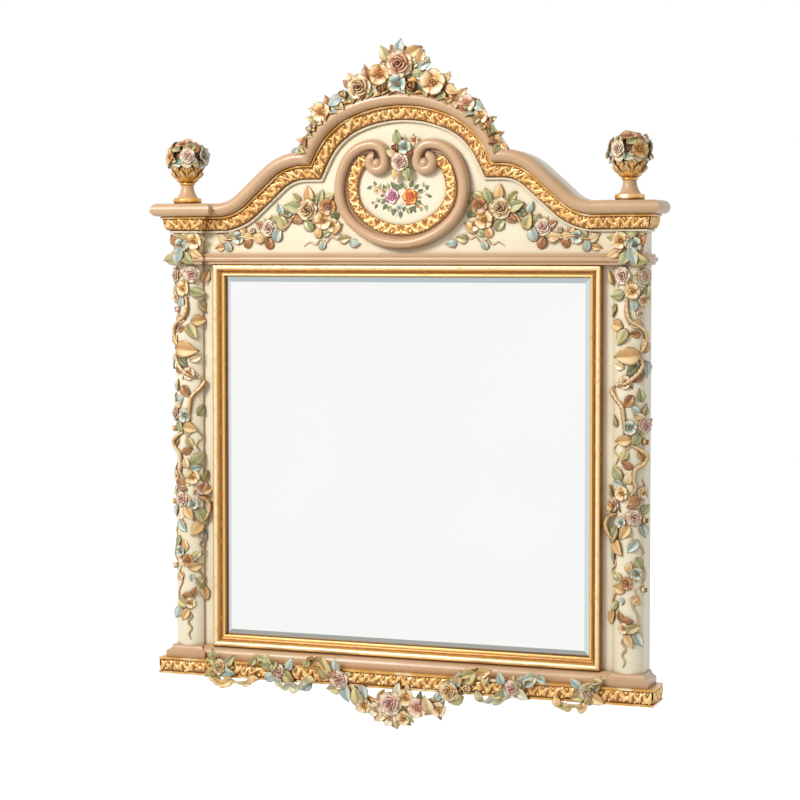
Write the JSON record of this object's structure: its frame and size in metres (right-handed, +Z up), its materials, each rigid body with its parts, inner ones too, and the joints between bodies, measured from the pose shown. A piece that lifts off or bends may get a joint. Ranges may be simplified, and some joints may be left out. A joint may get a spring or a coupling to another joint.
{
  "type": "carved wall mirror",
  "caption": "Wall mirror: bevelled glass in gilt rails between bowed pilasters, under an arched pediment with a scroll cartouche, finials and painted carved flowers.",
  "frame": {"origin": "middle of the base bar's lower rear edge, on the wall plane", "axes": "+Z up, +Y into the wall, so the front faces -Y; +X to the right as seen from the front"},
  "size_m": [1.219, 0.1166, 1.552],
  "materials": {
    "cream_paint": "satin cream paint with a thin aged glaze",
    "tan_paint": "satin rose-beige paint",
    "gilt": "gold leaf with brown glaze in the hollows",
    "polychrome": "hand-painted flowers and leaves with gilded edges",
    "mirror": "silvered glass with a bevelled edge",
    "board": "unfinished board",
    "raw_wood": "unfinished beech",
    "steel": "zinc plated"
  },
  "bodies": {
    "root": {"stile_left": "cream_paint", "stile_right": "cream_paint", "bottom_rail": "cream_paint", "top_rail": "cream_paint", "pilaster_left": "cream_paint", "pilaster_right": "cream_paint", "pediment_board": "cream_paint", "frieze_block_left": "cream_paint", "frieze_block_right": "cream_paint", "cornice_beads": "cream_paint", "cartouche_plaque": "cream_paint", "plinth_left": "tan_paint", "plinth_right": "tan_paint", "plinth_middle": "tan_paint", "architrave_left": "tan_paint", "architrave_right": "tan_paint", "architrave_middle": "tan_paint", "cornice_torus_end_left": "tan_paint", "cornice_torus_end_right": "tan_paint", "cornice_torus_ogee_left": "tan_paint", "cornice_torus_ogee_right": "tan_paint", "cornice_torus_arch": "tan_paint", "cartouche_scroll_left": "tan_paint", "cartouche_scroll_right": "tan_paint", "base_bar": "gilt", "cornice_leaf_end_left": "gilt", "cornice_leaf_end_right": "gilt", "cornice_leaf_ogee_left": "gilt", "cornice_leaf_ogee_right": "gilt", "cornice_leaf_arch": "gilt", "cartouche_leaf_band": "gilt", "sight_rail_bottom": "gilt", "sight_rail_top": "gilt", "sight_rail_left": "gilt", "sight_rail_right": "gilt", "finial_stem_left": "gilt", "finial_stem_right": "gilt", "finial_cup_left": "gilt", "finial_cup_right": "gilt", "finial_bouquet_left": "polychrome", "finial_bouquet_right": "polychrome", "vine_left": "polychrome", "vine_right": "polychrome", "spray_left": "polychrome", "spray_right": "polychrome", "capital_left": "polychrome", "capital_right": "polychrome", "knot": "polychrome", "crest": "polychrome", "garland": "polychrome", "mirror_glass": "mirror", "back_panel": "board", "packing_board": "board", "keyhole_plate_left": "steel", "keyhole_plate_right": "steel", "panel_screws": "steel", "plate_screws": "steel", "dowels": "raw_wood", "crest_branch": "polychrome", "garland_swag": "polychrome"}
  },
  "joints": []
}
